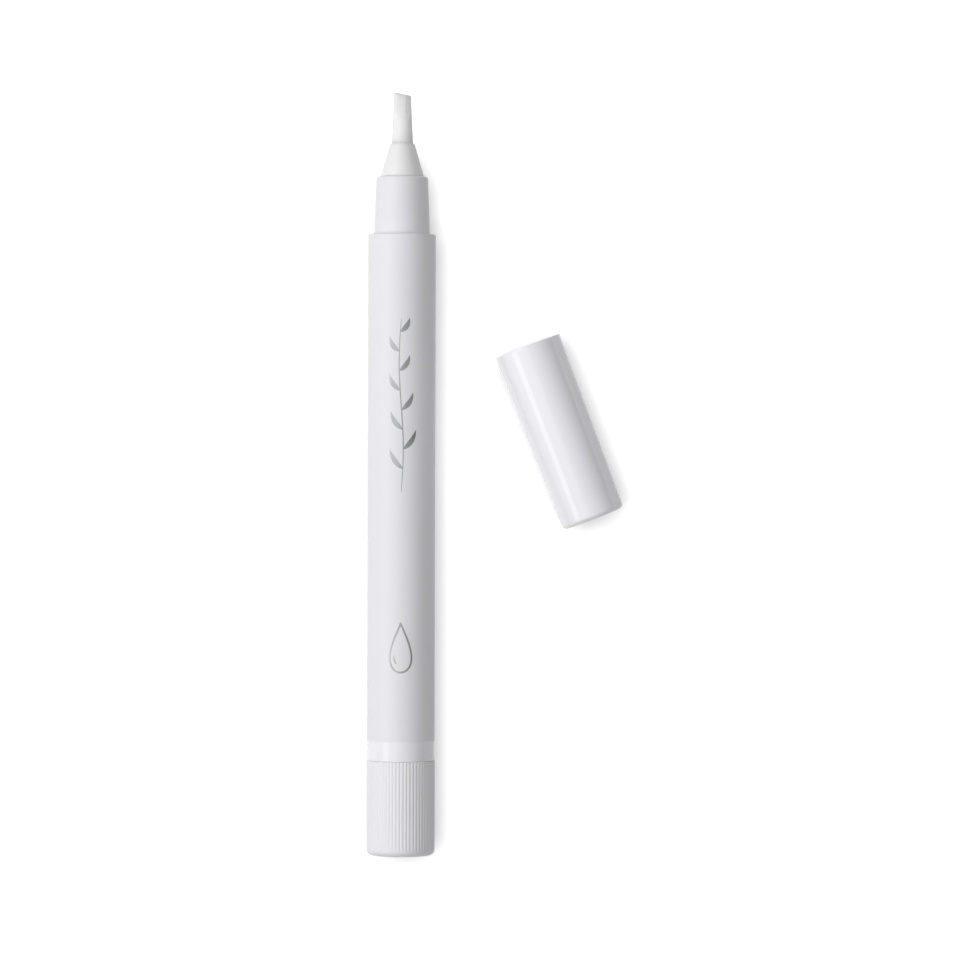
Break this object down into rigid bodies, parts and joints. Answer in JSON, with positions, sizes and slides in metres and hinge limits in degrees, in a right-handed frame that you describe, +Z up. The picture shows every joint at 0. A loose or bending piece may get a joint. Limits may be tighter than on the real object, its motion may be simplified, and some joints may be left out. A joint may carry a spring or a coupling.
{
  "type": "nail oil pen",
  "caption": "Slim white twist pen for nail and cuticle oil, with a ribbed knob, a slanted fibre nib and a pull-off cap lying beside it.",
  "frame": {"origin": "centre of the twist knob's flat end face, on the pen's axis", "axes": "+Y along the pen's axis towards the nib, +Z up from the surface that the pen and its cap lie on, +X to the side where the cap lies"},
  "size_m": [0.0415, 0.1244, 0.011],
  "materials": {
    "satin_white": "satin moulded white",
    "gloss_white": "polished moulded white",
    "nose_white": "smooth, neutral and slightly translucent white",
    "nib_fibre": "pressed white fibre",
    "natural_acetal": "unpainted milky plastic",
    "soft_polyethylene": "soft waxy translucent plastic",
    "silicone": "clear grey silicone"
  },
  "bodies": {
    "barrel": {"barrel": "satin_white", "screw_seat": "gloss_white", "front_section": "satin_white", "section_seal": "silicone", "nose_cone": "nose_white", "nib": "nib_fibre"},
    "knob": {"twist_knob": "satin_white", "driver_tube": "natural_acetal", "click_ring": "natural_acetal"},
    "rod": {"piston_rod": "natural_acetal"},
    "piston": {"piston": "soft_polyethylene"},
    "cap": {"cap_shell": "gloss_white", "cap_liner": "soft_polyethylene"}
  },
  "joints": [
    {"name": "piston_slide", "type": "slide", "parent": "barrel", "child": "piston", "axis": [0, 1, 0], "range_m": [0, 0.036]},
    {"name": "knob_turn", "type": "hinge", "parent": "barrel", "child": "knob", "pos_m": [0, 0, 0], "axis": [0, 1, 0], "range_deg": [0, 6480], "deforming": ["click_ring"]},
    {"name": "rod_slide", "type": "slide", "parent": "knob", "child": "rod", "axis": [0, 1, 0], "range_m": [0, 0.0361]},
    {"name": "cap_pull", "type": "slide", "parent": "barrel", "child": "cap", "axis": [0.36, -0.933, 0], "range_m": [0, 0.0235]}
  ],
  "couplings": [
    {"joint": "knob_turn", "follows": "piston_slide", "rad_per_m": 3141.6},
    {"joint": "rod_slide", "follows": "piston_slide", "ratio": 1}
  ]
}
